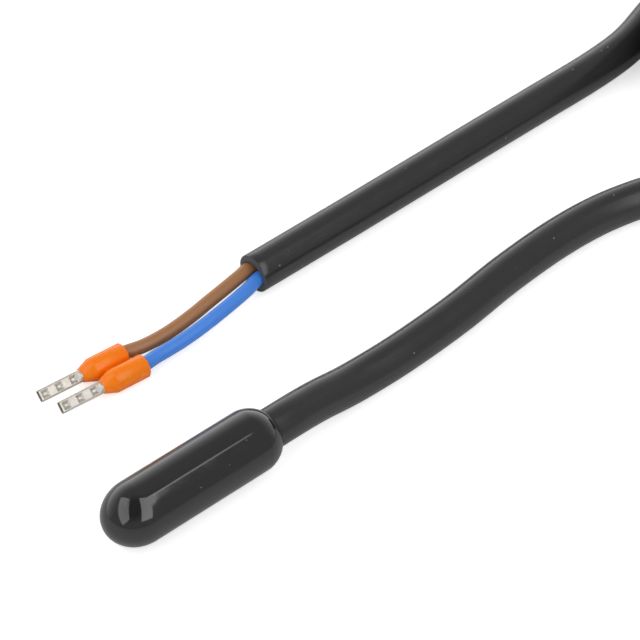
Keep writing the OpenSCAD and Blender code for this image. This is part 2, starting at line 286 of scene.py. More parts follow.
def square_tube(name: str, middle: Sequence[float], size: Sequence[float], corner: float,
                segments: int) -> Piece:
    """Makes a square tube along X, with thin walls and open ends.

    Args:
        name: the piece's name.
        middle: its centre, in metres.
        size: its length along each axis, in metres.
        corner: radius of its corners, in metres.
        segments: faces round each corner.

    Returns:
        The tube.
    """
    piece = block(name, middle, size)
    with Edit(piece, Kind.FACE) as edit:
        edit.pick(lambda c, n: abs(n.x) > 0.9)
        bpy.ops.mesh.delete(type="ONLY_FACE")
    with Edit(piece, Kind.EDGE) as edit:
        edit.pick(lambda c, d: abs(d.x) > 0.9)
        bpy.ops.mesh.bevel(offset=corner, segments=segments, affect="EDGES")
    return piece


# Routes

def spline(points: Sequence[Vector], first: Vector, last: Vector, step: float) -> list[Vector]:
    """Smooth line through given points.

    Args:
        points: the points that it passes.
        first: its direction at the first point.
        last: its direction at the last point.
        step: about how far its own points lie apart.

    Returns:
        The line's points.
    """
    ways = [first.normalized()]
    ways += [(points[i + 1] - points[i - 1]).normalized() for i in range(1, len(points) - 1)]
    ways.append(last.normalized())
    line = []
    for i, (a, b) in enumerate(zip(points, points[1:])):
        chord = (b - a).length
        count = max(2, round(chord / step))
        for k in range(count):
            t = k / count
            line.append((2 * t**3 - 3 * t**2 + 1) * a + (t**3 - 2 * t**2 + t) * chord * ways[i]
                        + (3 * t**2 - 2 * t**3) * b + (t**3 - t**2) * chord * ways[i + 1])
    line.append(points[-1])
    return line


def millimetres(points: Sequence[Point]) -> list[Vector]:
    """Turns points given in millimetres into vectors in metres."""
    return [Vector(p) * MM for p in points]


@dataclass(frozen=True)
class Hank:
    """The unseen length of the cable, folded into a hank beside the view.

    Six strands pass the near run and the right fold, in two columns of three.
    On the far run the whole bundle twists by one place, so that each strand
    comes round into the next one's place.
    """

    corner: Pair = (0.117, 0.008)
    run: float = 0.057
    fold_radius: float = 0.0158
    pitch: float = 0.00525
    floor_z: float = 0.0032
    strands: int = 6
    inward: float = 0.48
    step: float = 0.0014

    def place(self, slot: int, spread: float) -> Pair:
        """Place of a strand in the bundle's section.

        Args:
            slot: 0 to 5, clockwise from the lower outer place.
            spread: 0 in two straight columns, 0.5 in a hexagon.

        Returns:
            How far out and how far up it lies, in pitches.
        """
        low = 1 - math.sqrt(1 - spread**2)
        ring = [(0.5, low), (-0.5, low), (-0.5 - spread, 1),
                (-0.5, 2 - low), (0.5, 2 - low), (0.5 + spread, 1)]
        return ring[slot % self.strands]

    def twist(self, slot: int, t: float) -> Pair:
        """Place of a strand on the far run, where the bundle twists by one place.

        The columns open into a hexagon and close again while they turn, with a soft
        start and end. That keeps neighbours a pitch apart. The bundle moves inward
        meanwhile, to stay within the hank.

        Args:
            slot: the place that it comes from.
            t: share of the run that lies behind it.

        Returns:
            How far out and how far up it lies, in pitches.
        """
        half = math.sin(math.pi * t) ** 2
        later = 1 if t >= 0.5 else 0
        turn = math.radians(60) * (later - (1 - math.cos(math.pi * t)) / 2)
        x, y = self.place(slot + later, half / 2)
        out = x * math.cos(turn) - (y - 1) * math.sin(turn)
        up = 1 + x * math.sin(turn) + (y - 1) * math.cos(turn)
        return min(out - self.inward * half, 0.5), up

    def radius(self, out: float) -> float:
        """Distance from the middle line of the hank to a strand."""
        return self.fold_radius + (out + 0.5) * self.pitch

    def point(self, x: float, angle: float, out: float, up: float) -> Vector:
        """Centre of a strand, at an angle in degrees round a place on the middle line."""
        r, a = self.radius(out), math.radians(angle)
        return Vector((x + r * math.cos(a), self.corner[1] + r * math.sin(a),
                       self.floor_z + up * self.pitch))

    def fold(self, x: float, slot: int, start: float) -> list[Vector]:
        """Half a turn round one end of the hank.

        Args:
            x: where the fold has its centre.
            slot: the strand's place.
            start: the angle at which it starts, in degrees.

        Returns:
            The points of the fold.
        """
        out, up = self.place(slot, 0)
        count = round(math.pi * self.radius(out) / self.step)
        return [self.point(x, start + 180 * k / count, out, up) for k in range(count)]

    def path(self) -> list[Vector]:
        """The whole hank, from the lead that enters it to the one that leaves.

        Returns:
            The points of its centre line.
        """
        x0, x1 = self.corner[0], self.corner[0] + self.run
        count = round(self.run / self.step)
        shares = [k / count for k in range(count)]
        points = []
        for slot in range(self.strands):
            spot = self.place(slot, 0)
            points += [self.point(x0 + self.run * t, -90, *spot) for t in shares]
            points += self.fold(x1, slot, -90)
            points += [self.point(x1 - self.run * t, 90, *self.twist(slot, t)) for t in shares]
            if slot < self.strands - 1:
                points += self.fold(x0, slot + 1, 90)
        return points


def swept_tube(name: str, line: Sequence[Vector], radius: float, sides: int) -> Piece:
    """Sweeps a round tube along a line, with a UV map that runs along it.

    Args:
        name: the tube's name.
        line: the points of its centre line.
        radius: its radius.
        sides: points round it.

    Returns:
        The tube, open at both ends.
    """
    points, faces, along = [], [], [0.0]
    for i, at in enumerate(line):
        way = (line[min(i + 1, len(line) - 1)] - line[max(i - 1, 0)]).normalized()
        side = Vector((0, 0, 1)).cross(way).normalized()
        up = way.cross(side)
        for k in range(sides):
            a = 2 * math.pi * k / sides
            points.append(at + radius * (math.cos(a) * side + math.sin(a) * up))
        if i:
            along.append(along[-1] + (at - line[i - 1]).length)
            low, high = (i - 1) * sides, i * sides
            for k in range(sides):
                n = (k + 1) % sides
                faces.append((low + k, low + n, high + n, high + k))
    mesh = bpy.data.meshes.new(name)
    mesh.from_pydata(points, [], faces)
    uv = mesh.uv_layers.new(name="Along")
    for index, face in enumerate(mesh.polygons):
        i, k = divmod(index, sides)
        corners = ((i, k), (i, k + 1), (i + 1, k + 1), (i + 1, k))
        for loop, (ring, turn) in zip(face.loop_indices, corners):
            uv.data[loop].uv = (along[ring], turn / sides)
    piece = added(name, mesh)
    with Edit(piece):
        bpy.ops.mesh.select_all(action="SELECT")
        bpy.ops.mesh.normals_make_consistent(inside=False)
    return piece


# Finishes

class Sketch:
    """A material under work, with short ways to add what its pattern needs."""

    def __init__(self, name: str, surroundings: bool = False) -> None:
        """Starts a material with a plain shader.

        Args:
            name: the material's name.
            surroundings: True for the light all round instead of a material.
        """
        data = bpy.data.worlds if surroundings else bpy.data.materials
        self.material = data.new(name)
        self.material.use_nodes = True
        self.tree = self.material.node_tree
        self.shader = self.tree.nodes["Background" if surroundings else "Principled BSDF"]
        self.place = None if surroundings else self.stretched((1, 1, 1))

    def put(self, **values: object) -> None:
        """Sets plain values on the shader, with underscores for spaces."""
        for key, value in values.items():
            socket = self.shader.inputs[key.replace("_", " ")]
            socket.default_value = (*value, 1.0) if socket.type == "RGBA" else value

    def feed(self, **sockets: Socket) -> None:
        """Links sockets to the shader, with underscores for spaces."""
        for key, socket in sockets.items():
            self.tree.links.new(socket, self.shader.inputs[key.replace("_", " ")])

    def node(self, kind: str, values: dict[str | int, object] | None = None,
             **settings: object) -> bpy.types.Node:
        """Adds a node.

        Args:
            kind: the node's type.
            values: plain values or sockets for its inputs.
            settings: properties of the node itself.

        Returns:
            The node.
        """
        node = self.tree.nodes.new(kind)
        for key, value in settings.items():
            setattr(node, key, value)
        for key, value in (values or {}).items():
            if isinstance(value, Socket):
                self.tree.links.new(value, node.inputs[key])
            else:
                node.inputs[key].default_value = value
        return node

    def stretched(self, scale: Point, way: Way = Way.OBJECT) -> Socket:
        """Place on the piece with each axis scaled."""
        source = self.node("ShaderNodeTexCoord").outputs[way.value]
        return self.node("ShaderNodeMapping", {"Vector": source, "Scale": scale},
                         vector_type="POINT").outputs[0]

    def noise(self, scale: float, detail: float = 3.0, rough: float = 0.5,
              place: Socket | None = None) -> Socket:
        """Soft noise, by its blobs a metre, its finer layers and how strong they are."""
        return self.node("ShaderNodeTexNoise", {
            "Vector": place or self.place, "Scale": scale, "Detail": detail,
            "Roughness": rough}).outputs[0]

    def span(self, value: Socket, low: float, high: float, to_low: float | Socket,
             to_high: float) -> Socket:
        """Stretches a value from one range to another, and clamps it."""
        return self.node("ShaderNodeMapRange", {
            "Value": value, "From Min": low, "From Max": high,
            "To Min": to_low, "To Max": to_high}).outputs[0]

    def math(self, what: str, a: Socket, b: float | Socket) -> Socket:
        """One sum on two values."""
        return self.node("ShaderNodeMath", {0: a, 1: b}, operation=what).outputs[0]

    def blend(self, share: Socket, a: Colour | Socket, b: Colour | Socket) -> Socket:
        """Mixes two colours, with the share of the second one given."""
        a, b = (c if isinstance(c, Socket) else (*c, 1.0) for c in (a, b))
        return self.node("ShaderNodeMix", {0: share, 6: a, 7: b}, data_type="RGBA").outputs[2]

    def shades(self, share: Socket, colour: Colour, dark: float, light: float) -> Socket:
        """Mixes a darker and a lighter shade of one colour."""
        return self.blend(share, shade_of(colour, dark), shade_of(colour, light))

    def spots(self, scale: float, size: float, share: float) -> Socket:
        """Small round spots, in only some of the cells that they could fill.

        Args:
            scale: cells a metre.
            size: radius of a spot, as a share of its cell.
            share: share of the cells that hold one.

        Returns:
            1 in a spot and 0 beside it.
        """
        cells = self.node("ShaderNodeTexVoronoi", {"Vector": self.place, "Scale": scale})
        near = self.span(cells.outputs["Distance"], size, size * 0.6, 0.0, 1.0)
        drawn = self.node("ShaderNodeSeparateColor", {0: cells.outputs["Color"]}).outputs[0]
        return self.math("MULTIPLY", near, self.math("LESS_THAN", drawn, share))

    def relief(self, *layers: tuple[Socket, float]) -> Material:
        """Adds relief to the surface, as the last step of a finish.

        Args:
            layers: a height from 0 to 1 and its depth in millimetres, for each layer.

        Returns:
            The finished material.
        """
        values = {"Strength": 1.0}
        for height, depth in layers:
            bump = self.node("ShaderNodeBump", values | {"Height": height, "Distance": depth * MM})
            values["Normal"] = bump.outputs[0]
        self.feed(Normal=values["Normal"])
        return self.material


def shade_of(colour: Colour, factor: float) -> Colour:
    """A lighter or darker shade of a colour."""
    return tuple(min(1.0, channel * factor) for channel in colour)


@dataclass(frozen=True)
class MouldedGloss:
    """Black resin from a polished mould, with a few pits and dust specks."""

    name: str = "capsule_resin"
    colour: Colour = (0.0125, 0.0128, 0.0132)
    dust: Colour = (0.1, 0.098, 0.095)
    roughness: Pair = (0.055, 0.12)

    def make(self) -> Material:
        """Builds the finish.

        Returns:
            Its material.
        """
        s = Sketch(self.name)
        dust = s.spots(1100, 0.13, 0.12)
        base = s.shades(s.noise(220, 2), self.colour, 0.85, 1.15)
        s.feed(Base_Color=s.blend(dust, base, self.dust),
               Roughness=s.span(s.noise(700), 0.3, 0.8, *self.roughness))
        s.put(IOR=1.6)
        return s.relief((s.noise(170, 1), 0.012), (s.noise(2600, 2), 0.0009), (dust, 0.01))


@dataclass(frozen=True)
class ExtrudedJacket:
    """Black satin jacket with fine draw lines along it and a few specks."""

    name: str = "cable_jacket"
    colour: Colour = (0.0235, 0.0236, 0.0243)
    speck: Colour = (0.12, 0.12, 0.115)
    roughness: Pair = (0.18, 0.28)

    def make(self) -> Material:
        """Builds the finish.

        Returns:
            Its material.
        """
        s = Sketch(self.name)
        lines = s.noise(5, 3, 0.6, s.stretched((6, 9, 1), Way.UV))
        speck = s.spots(900, 0.14, 0.08)
        base = s.shades(lines, self.colour, 0.8, 1.25)
        s.feed(Base_Color=s.blend(speck, base, self.speck),
               Roughness=s.span(s.noise(500, 4), 0.3, 0.75, *self.roughness))
        s.put(IOR=1.5)
        return s.relief((lines, 0.012), (s.noise(1500), 0.003), (speck, 0.02))


@dataclass(frozen=True)
class CoreInsulation:
    """Coloured insulation of a core, extruded, a little scuffed."""

    name: str
    colour: Colour
    roughness: Pair = (0.32, 0.45)

    def make(self) -> Material:
        """Builds the finish.

        Returns:
            Its material.
        """
        s = Sketch(self.name)
        lines = s.noise(6, 3, 0.6, s.stretched((14, 7, 1), Way.UV))
        scuff = s.span(s.noise(900, 4, 0.7), 0.62, 0.8, 0.0, 0.35)
        base = s.shades(lines, self.colour, 0.84, 1.18)
        s.feed(Base_Color=s.blend(scuff, base, shade_of(self.colour, 1.7)),
               Roughness=s.span(s.noise(800), 0.3, 0.75, *self.roughness))
        return s.relief((lines, 0.01), (s.noise(2200, 2), 0.003))


@dataclass(frozen=True)
class MouldedCollar:
    """Orange plastic of a ferrule's collar, slightly see-through at its edges."""

    name: str = "collar_orange"
    colour: Colour = (0.95, 0.19, 0.00285)
    light: Colour = (1.0, 0.25, 0.006)
    roughness: Pair = (0.22, 0.3)

    def make(self) -> Material:
        """Builds the finish.

        Returns:
            Its material.
        """
        s = Sketch(self.name)
        s.feed(Base_Color=s.blend(s.noise(480), self.colour, self.light),
               Roughness=s.span(s.noise(1300), 0.3, 0.75, *self.roughness))
        s.put(IOR=1.5, Specular_IOR_Level=0.3, Subsurface_Weight=0.05,
              Subsurface_Scale=0.0005, Subsurface_Radius=(1.0, 0.3, 0.08))
        return s.relief((s.noise(420, 2), 0.008), (s.noise(3000, 2), 0.002))


@dataclass(frozen=True)
class TinPlate:
    """Tin on pressed copper, with dull patches and marks of the crimping die."""

    name: str = "barrel_tin"
    colour: Colour = (0.65, 0.615, 0.56)
    roughness: Pair = (0.38, 0.54)

    def make(self) -> Material:
        """Builds the finish.

        Returns:
            Its material.
        """
        s = Sketch(self.name)
        cloud = s.noise(1400, 4, 0.6)
        scratch = s.noise(9000, 2, place=s.stretched((0.12, 1, 1)))
        s.feed(Base_Color=s.shades(cloud, self.colour, 0.78, 1.16),
               Roughness=s.span(cloud, 0.3, 0.7, *self.roughness))
        s.put(Metallic=1.0)
        return s.relief((s.noise(1100, 2), 0.03), (scratch, 0.003))


@dataclass(frozen=True)
class BareMetal:
    """Plain metal, such as copper strands, brass or tinned wire."""

    name: str
    colour: Colour
    roughness: float = 0.3

    def make(self) -> Material:
        """Builds the finish.

        Returns:
            Its material.
        """
        s = Sketch(self.name)
        cloud = s.noise(1800)
        s.feed(Base_Color=s.shades(cloud, self.colour, 0.7, 1.0),
               Roughness=s.span(cloud, 0.3, 0.7, self.roughness * 0.8, self.roughness * 1.25))
        s.put(Metallic=1.0)
        return s.relief((s.noise(2600, 2), 0.006))


@dataclass(frozen=True)
class PlainPlastic:
    """Matte or satin plastic, resin or ceramic with a fine grain."""

    name: str
    colour: Colour
    roughness: float = 0.5
    grain: float = 1500.0

    def make(self) -> Material:
        """Builds the finish.

        Returns:
            Its material.
        """
        s = Sketch(self.name)
        cloud = s.noise(self.grain * 0.4)
        s.feed(Base_Color=s.shades(cloud, self.colour, 0.8, 1.2),
               Roughness=s.span(cloud, 0.3, 0.7, self.roughness * 0.85, self.roughness * 1.15))
        return s.relief((s.noise(self.grain, 4, 0.6), 0.008))


def dress(piece: Piece, material: Material) -> None:
    """Gives a new piece its finish and its body.

    Args:
        piece: the piece, at its place.
        material: its finish.
    """
    piece.data.materials.clear()
    piece.data.materials.append(material)
    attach(piece, BODY)
    log.info("%s: %d faces", piece.name, len(piece.data.polygons))


# The camera

@dataclass
class Camera:
    """The photograph's viewpoint, with a long lens that looks down on the probe."""

    aim: Point = (0.03234, 0.01338, 0.0)
    distance: float = 0.4550
    elevation: float = 44.3
    turn: float = -41.077
    focal_pixels: float = 3622.5
    image_width: float = 640.0
    sensor_width: float = 36.0
    nearest: float = 0.01

    def build(self) -> None:
        """Adds the camera."""
        data = bpy.data.cameras.new("camera")
        data.sensor_width = self.sensor_width
        data.lens = self.focal_pixels * self.sensor_width / self.image_width
        data.clip_start = self.nearest
        camera = added("camera", data)
        camera.rotation_euler = (math.radians(90 - self.elevation), 0, math.radians(self.turn))
        away = camera.rotation_euler.to_matrix() @ Vector((0, 0, 1))
        camera.location = Vector(self.aim) + self.distance * away
        bpy.context.scene.camera = camera


# Cable, cores and capsule

@dataclass
class Cable:
    """The round cable in one piece, from inside the capsule to its cut end."""

    radius: float = 0.0026
    length: float = 1.52
    bore_width: float = 0.0039
    bore_height: float = 0.003
    strip_depth: float = 0.015
    rim_bevel: float = 0.00008
    bore_bevel: float = 0.00006
    sides: int = 28
    probe_way: Sequence[Point] = (
        (20, 0.35, 3.5), (26, 0.42, 2.7), (34, 0.38, 2.6), (44, 0.98, 2.6), (54, 2.2, 2.6),
        (64, 2.75, 2.6), (72, 2.15, 2.6), (80, 0.05, 2.6), (88, -3.65, 2.6), (96, -7.7, 2.7),
        (104, -11.15, 3), (111, -12.7, 3.15))
    free_way: Sequence[Point] = (
        (56, 23.27, 2.6), (68, 23.35, 2.6), (80, 23.4, 2.6), (90, 23.5, 2.6),
        (97, 24.2, 2.65), (104, 26.2, 2.9), (111, 28.3, 3.15))
    hank: Hank = Hank()
    step: float = 0.0012
    jacket: ExtrudedJacket = ExtrudedJacket()
    # the cut face: matte plastic, its lighter grey partly a painted reflection of the pale
    # surroundings
    cut: PlainPlastic = PlainPlastic("jacket_cut_with_painted_reflection", (0.07, 0.07, 0.072), 0.62, 2600)
    line: Sequence[Vector] = ()
    piece: Piece | None = None

    def path(self) -> list[Vector]:
        """Centre line of the whole cable, from the capsule to the cut end.

        Returns:
            Its points.
        """
        inner, neck_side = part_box("jacket_probe_end")
        cut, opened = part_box("jacket_free_end")
        hank = self.hank.path()
        start = Vector((inner[0], 0, (inner[2] + neck_side[2]) / 2))
        stub = Vector((neck_side[0], 0, start.z))
        first = spline([stub, *millimetres(self.probe_way), hank[0]], FORWARD, FORWARD, self.step)
        corner = Vector((self.hank.corner[0], 2 * self.hank.corner[1] - hank[0].y, hank[0].z))
        open_x = Vector((opened[0], (cut[1] + opened[1]) / 2, self.radius))
        way = [corner, *reversed(millimetres(self.free_way)), open_x]
        last = spline(way, -FORWARD, -FORWARD, self.step)
        end = Vector((cut[0], open_x.y, open_x.z))
        count = round((end - open_x).length / self.step)
        straight = [open_x.lerp(end, k / count) for k in range(count + 1)]
        line = [start, *first[:-1], *hank, *last[:-1], *straight]
        return [Vector((p.x, p.y, max(p.z, self.radius))) for p in line]

    def work_ends(self) -> None:
        """Closes the end that the mould holds, and hollows the free end round the cores."""
        r, start, end = self.radius, self.line[0], self.line[-1]
        with Edit(self.piece, Kind.EDGE) as edit:
            edit.pick_ring(end.x, lambda c: (c - end).length < 1.1 * r)
            edit.extrude()
            edit.resize((1, self.bore_width / 2 / r, self.bore_height / 2 / r), end)
            edit.extrude(self.strip_depth)
            bpy.ops.mesh.edge_face_add()
            edit.pick_ring(end.x, lambda c: abs((c - end).length - r) < 0.02 * r)
            bpy.ops.mesh.bevel(offset=self.rim_bevel, segments=2, affect="EDGES")
            edit.pick_ring(end.x, lambda c: (c - end).length < 0.8 * r)
            bpy.ops.mesh.bevel(offset=self.bore_bevel, segments=2, affect="EDGES")
            edit.pick_ring(start.x, lambda c: (c - start).length < 1.05 * r)
            bpy.ops.mesh.edge_face_add()

    def build(self) -> None:
        """Makes, dresses and places the cable, with a matte finish of its own on the cut face,
        whose lighter grey is partly a painted reflection of the pale surroundings.
        """
        self.line = self.path()
        self.piece = cable = swept_tube("cable", self.line, self.radius, self.sides)
        self.work_ends()
        smooth(cable)
        dress(cable, self.jacket.make())
        cable.data.materials.append(self.cut.make())
        # the cut face takes the matte finish whose lighter grey is partly painted reflection
        for face in cable.data.polygons:
            if face.normal.x < -0.6 and abs(face.center.x - self.line[-1].x) < 0.0001:
                face.material_index = 1
        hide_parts("jacket_probe_end", "cable_probe_lead", "cable_hank",
                    "cable_free_lead", "jacket_free_end")

    def declare(self, far_pieces: Sequence[Piece]) -> None:
        """Does nothing: the cable's length, its ends and what is on it are not declared.

        Args:
            far_pieces: the pieces on its far end; not used.
        """


@dataclass
class Core:
    """One insulated core, from inside the opened jacket into its ferrule."""

    colour: CoreColour
    way: Sequence[Point]
    rim: Pair
    side: float
    insulation: CoreInsulation
    radius: float = 0.0009
    seat: float = 0.0032
    ferrule_turn: float = 175.4
    offset: Pair = (0.00094, 0.00018)
    lean: float = 0.00014
    sides: int = 20
    step: float = 0.0005
    line: Sequence[Vector] = ()
    piece: Piece | None = None
    ferrule: list[Piece] = field(default_factory=list)

    def rim_point(self) -> Vector:
        """Centre of the ferrule's open rim."""
        low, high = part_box("ferrule_collar_" + self.colour.value)
        return Vector((self.rim[0] * MM, self.rim[1] * MM, (low[2] + high[2]) / 2))

    def path(self) -> list[Vector]:
        """Centre line of the core, from inside the jacket to its seat in the collar.

        Returns:
            Its points.
        """
        low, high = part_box("jacket_free_end")
        start = Vector((high[0], (low[1] + high[1]) / 2 + self.side * self.offset[0],
                        (low[2] + high[2]) / 2 + self.side * self.offset[1]))
        turn = math.radians(self.ferrule_turn)
        axis = Vector((math.cos(turn), math.sin(turn), 0))
        rim = self.rim_point()
        points = [start, *millimetres(self.way), rim + Vector((0, 0, self.lean)),
                  rim + self.seat * axis]
        return spline(points, -FORWARD, axis, self.step)

    def build(self) -> None:
        """Makes, dresses and places the core."""
        name = "core_" + self.colour.value
        self.line = self.path()
        self.piece = piece = swept_tube("insulation_" + self.colour.value, self.line,
                                        self.radius, self.sides)
        with Edit(piece, Kind.EDGE) as edit:
            bpy.ops.mesh.select_non_manifold()
            bpy.ops.mesh.edge_face_add()
            edit.close_up()
        smooth(piece)
        dress(piece, self.insulation.make())
        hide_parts(name)

    def declare(self) -> None:
        """Does nothing: the core's length, its ends and its ferrule are not declared."""


@dataclass
class Capsule:
    """The moulded body: a long nose, a straight wall and a bore round the cable."""

    nose: float = 0.0048
    segments: int = 96
    rings: int = 48
    lip: float = 0.0001
    rim_bevel: float = 0.00007
    stations: int = 12
    resin: MouldedGloss = MouldedGloss()

    def build(self, cable_radius: float) -> None:
        """Makes, dresses and places the capsule.

        Args:
            cable_radius: radius of the cable that leaves it.
        """
        low, high = (Vector(corner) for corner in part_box("capsule"))
        seat_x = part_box("jacket_probe_end")[0][0]
        radius = (high.z - low.z) / 2
        neck = cable_radius + self.lip
        front = low.x + self.nose
        rear = high.x - math.sqrt(radius**2 - neck**2)
        take()
        bpy.ops.mesh.primitive_uv_sphere_add(
            segments=self.segments, ring_count=self.rings, radius=radius,
            location=(front, 0, radius), rotation=(0, math.pi / 2, 0))
        piece = named("capsule_body")
        settle(piece)
        with Edit(piece) as edit:
            edit.pick(lambda c, n: c.x > front + 1e-6)
            bpy.ops.transform.translate(value=(rear - front, 0, 0))
            edit.pick(lambda c, n: c.x < front - 1e-6)
            edit.resize((self.nose / radius, 1, 1), (front, 0, radius))
            for k in range(1, self.stations):
                edit.cut(front + (rear - front) * k / self.stations)
            edit.cut(high.x, clear_outer=True)
        with Edit(piece, Kind.EDGE) as edit:
            edit.pick_ring(high.x)
            edit.extrude()
            edit.resize((1, cable_radius / neck, cable_radius / neck), (high.x, 0, radius))
            edit.extrude(seat_x - high.x)
            bpy.ops.mesh.edge_face_add()
            edit.pick_ring(high.x, lambda c: math.hypot(c.y, c.z - radius)
                           > cable_radius + self.lip / 2)
            bpy.ops.mesh.bevel(offset=self.rim_bevel, segments=2, affect="EDGES")
            edit.close_up()
        smooth(piece)
        dress(piece, self.resin.make())
        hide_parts("capsule")


# Ferrules

@dataclass
class Ferrule:
    """A bootlace ferrule in millimetres, drawn along X from its open rim, then copied."""

    collar_radius: float = 1.55
    collar_length: float = 6.5
    cone: float = 1.7
    tip_radius: float = 0.9
    bore_radius: float = 1.15
    chamfer: float = 0.22
    rounding: float = 0.02
    flare_x: float = 3.4
    flare_gap: float = 0.002
    root_radius: float = 0.8
    root_end: float = 0.1
    barrel_length: float = 6.0
    barrel_width: float = 1.6
    barrel_height: float = 0.9
    barrel_edge: float = 0.05
    corner: float = 0.3
    blend: float = 0.6
    wall: float = 0.15
    roll: float = 40.0
    dent_length: float = 1.2
    dent_depth: float = 0.2
    dent_border: float = 0.1
    dent_slope: float = 0.32
    dent_first: float = 1.2
    dent_pitch: float = 2.05
    dents: int = 3
    strand_radius: float = 0.095
    strand_pitch: float = 0.21
    strand_rings: Sequence[float] = (-0.6, -0.2, 0.2, 0.6)
    rows: Sequence[tuple[float, int]] = ((-0.19, 5), (0.0, 6), (0.19, 5))
    uneven: float = 0.12
    bundle_radius: float = 0.45
    pinch_reach: float = 0.25
    pinch: float = 0.33
    tip_pinch: float = 0.6
    recess: float = 0.3
    core_seat: float = 3.2
    collar_sides: int = 64
    root_sides: int = 20
    strand_sides: int = 10
    bundle_sides: int = 24
    seed: int = 7

    def collar(self) -> Piece:
        """Makes the plastic collar with rounded edges.

        Returns:
            The collar, with its rim at the origin.
        """
        length, cone_x = self.collar_length, self.collar_length - self.cone
        r, c, e = self.collar_radius, self.chamfer, self.rounding
        piece = turned("collar", [
            (2.5 * e, self.bore_radius), (0, self.bore_radius + 2.5 * e), (0, r - c - 1.5 * e),
            (e, r - c), (c - e, r - e), (c + e, r), (cone_x - 2 * e, r), (cone_x, r - e / 2),
            (cone_x + 1.5 * e, r - e), (length - 3 * e, self.tip_radius + e),
            (length, self.tip_radius - 2 * e), (length, self.root_radius),
            (cone_x, self.root_radius), (self.flare_x, self.bore_radius),
            (2.5 * e, self.bore_radius)], self.collar_sides)
        smooth(piece, 30)
        return piece

    def dent_places(self) -> list[float]:
        """Middle of each dent along the ferrule."""
        return [self.collar_length + self.dent_first + k * self.dent_pitch
                for k in range(self.dents)]

    def dent(self, piece: Piece) -> None:
        """Presses pyramids into the upper and the lower face of the crimp.

        Args:
            piece: the barrel, before it has its wall.
        """
        half = self.dent_length / 2
        with Edit(piece, Kind.FACE) as edit:
            for x in self.dent_places():
                edit.cut((x - half) * MM)
                edit.cut((x + half) * MM)
            for x in self.dent_places():
                edit.pick(lambda c, n: abs(n.z) > 0.95 and abs(c.x - x * MM) < half * MM)
                bpy.ops.mesh.inset(thickness=self.dent_border * MM, depth=0)
                bpy.ops.mesh.inset(thickness=self.dent_slope * MM, depth=-self.dent_depth * MM)

    def barrel(self) -> Piece:
        """Makes the metal barrel with its flared root and its crimp.

        Returns:
            The barrel.
        """
        root_end = self.collar_length + self.root_end
        start = (self.collar_length + self.blend) * MM
        end = (self.collar_length + self.barrel_length) * MM
        crimp = square_tube("crimp", ((start + end) / 2, 0, 0),
                            (end - start, self.barrel_width * MM, self.barrel_height * MM),
                            self.corner * MM, 4)
        root = turned("root", [(self.flare_x, self.bore_radius - self.flare_gap),
                               (self.collar_length - self.cone, self.root_radius),
                               (root_end, self.root_radius)], self.root_sides)
        piece = join("barrel", [crimp, root])
        with Edit(piece, Kind.EDGE) as edit:
            edit.pick(lambda c, d: abs(d.x) < 0.1 and (
                abs(c.x - start) < 1e-6 or abs(c.x - root_end * MM) < 1e-6))
            bpy.ops.mesh.bridge_edge_loops(number_cuts=4, interpolation="SURFACE", smoothness=0.6)
        self.dent(piece)
        with Edit(piece) as edit:
            edit.close_up()
        modify(piece, "SOLIDIFY", thickness=self.wall * MM, offset=-1.0)
        modify(piece, "BEVEL", width=self.barrel_edge * MM, segments=3, limit_method="ANGLE",
               angle_limit=math.radians(18))
        smooth(piece, 50)
        return piece

    def strands(self) -> Piece:
        """Makes the bundle of bare strands, packed flat in the crimp.

        Returns:
            The strands, pinched under the dents and at their tips.
        """
        draw = random.Random(self.seed)
        start, end = self.collar_length, self.collar_length + self.barrel_length - self.recess
        middles = self.dent_places()
        r, e = self.strand_radius, self.rounding
        rings = [(x + out, r) for x in middles for out in self.strand_rings]
        rods = []
        for z, count in self.rows:
            for k in range(count):
                tip = end - draw.uniform(0, self.uneven)
                rod = turned("strand", [(start, e), (start, r), *rings[:-1], (tip - e, r),
                                        (tip, r - e), (tip, e / 2)], self.strand_sides)
                rod.location = (0, (k - (count - 1) / 2) * self.strand_pitch * MM, z * MM)
                settle(rod)
                rods.append(rod)
        rods.append(turned("bundle", [(self.core_seat, e), (self.core_seat, self.bundle_radius),
                                      (start, self.bundle_radius), (start, e)],
                           self.bundle_sides))
        piece = join("strands", rods)
        with Edit(piece) as edit:
            for x in middles:
                edit.pick(lambda c, n: abs(c.x - x * MM) < self.pinch_reach * MM)
                edit.resize((1, 1, self.pinch), (x * MM, 0, 0))
            edit.pick(lambda c, n: c.x > (middles[-1] + self.pinch_reach) * MM)
            edit.resize((1, 1, self.tip_pinch), (end * MM, 0, 0))
        smooth(piece)
        return piece

    def build(self, cores: Sequence[Core]) -> None:
        """Models the ferrule once and puts a copy on each core.

        Args:
            cores: the two cores.
        """
        copper = BareMetal("strand_copper", (0.7, 0.5, 0.34), 0.35)
        models = [("ferrule_collar", self.collar(), MouldedCollar().make(), "collar"),
                  ("ferrule_barrel", self.barrel(), TinPlate().make(), "barrel"),
                  ("strands", self.strands(), copper.make(), "copper")]
        for core in cores:
            for kind, model, material, slot in models:
                piece = added(f"{kind}_on_{core.colour.value}", model.data.copy())
                piece.matrix_world = (
                    Matrix.Translation(core.rim_point())
                    @ Matrix.Rotation(math.radians(core.ferrule_turn), 4, "Z")
                    @ Matrix.Rotation(math.radians(-self.roll), 4, "X"))
                settle(piece)
                dress(piece, material)
                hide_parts(f"{kind}_{core.colour.value}")
                core.ferrule.append(piece)
        for _, model, _, _ in models:
            bpy.data.objects.remove(model)


# The tie and what the capsule holds

